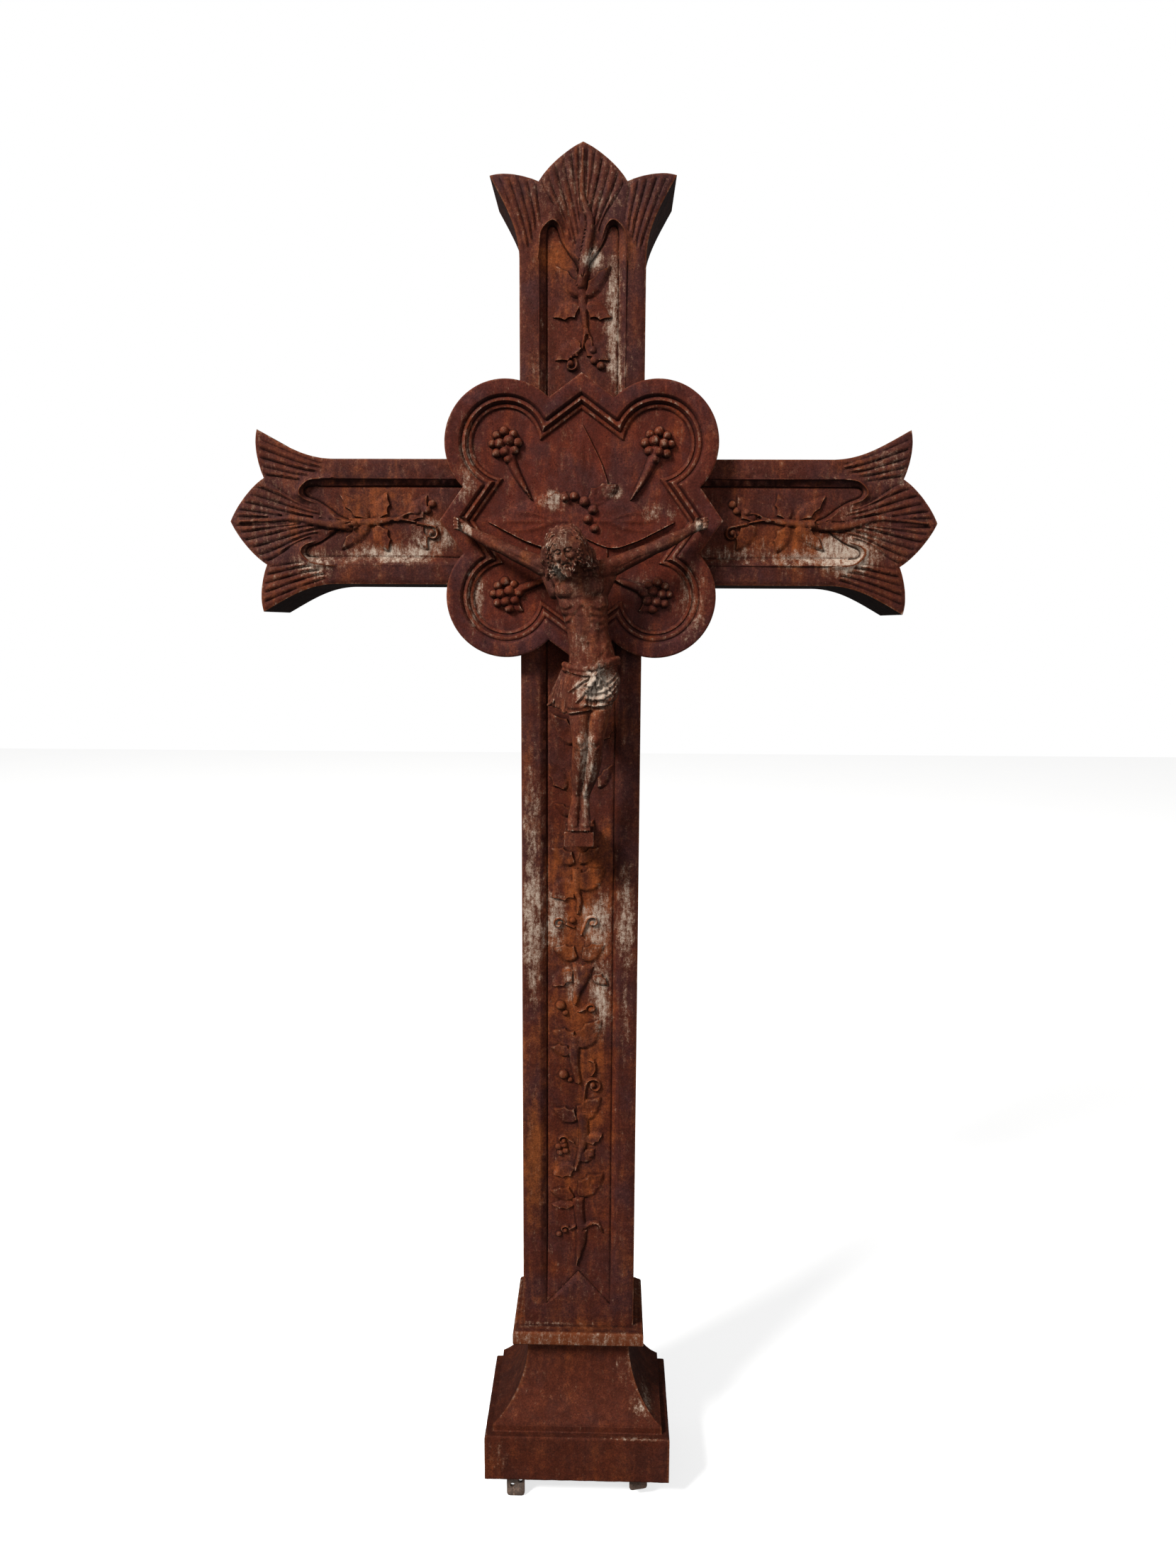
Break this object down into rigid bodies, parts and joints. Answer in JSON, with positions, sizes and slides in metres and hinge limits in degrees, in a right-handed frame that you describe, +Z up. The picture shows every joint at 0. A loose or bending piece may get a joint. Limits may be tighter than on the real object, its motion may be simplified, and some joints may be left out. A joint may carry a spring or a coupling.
{
  "type": "cast iron grave cross",
  "caption": "Tall cast iron grave cross with palmette finials, a grape medallion, a corpus and a flared plinth, set in a footing by straps.",
  "frame": {"origin": "on the plinth's underside, in the middle of its front wall, where the plinth sits on a footing", "axes": "+X to the viewer's right, +Y away from the viewer, +Z up the shaft"},
  "size_m": [0.8074, 0.2014, 1.619],
  "materials": {
    "rusted_iron": "rough dark red rust with pale residue",
    "medallion_iron": "rough dark red rust, purple-brown on the rim",
    "corpus_iron": "rust with worn pale residue on the high places",
    "plinth_iron": "rough orange-brown rust",
    "strap_iron": "grey, pitted flat iron"
  },
  "bodies": {
    "root": {"cross": "rusted_iron", "medallion": "medallion_iron", "corpus": "corpus_iron", "plinth": "plinth_iron", "lug_left": "strap_iron", "lug_right": "strap_iron"}
  },
  "joints": []
}
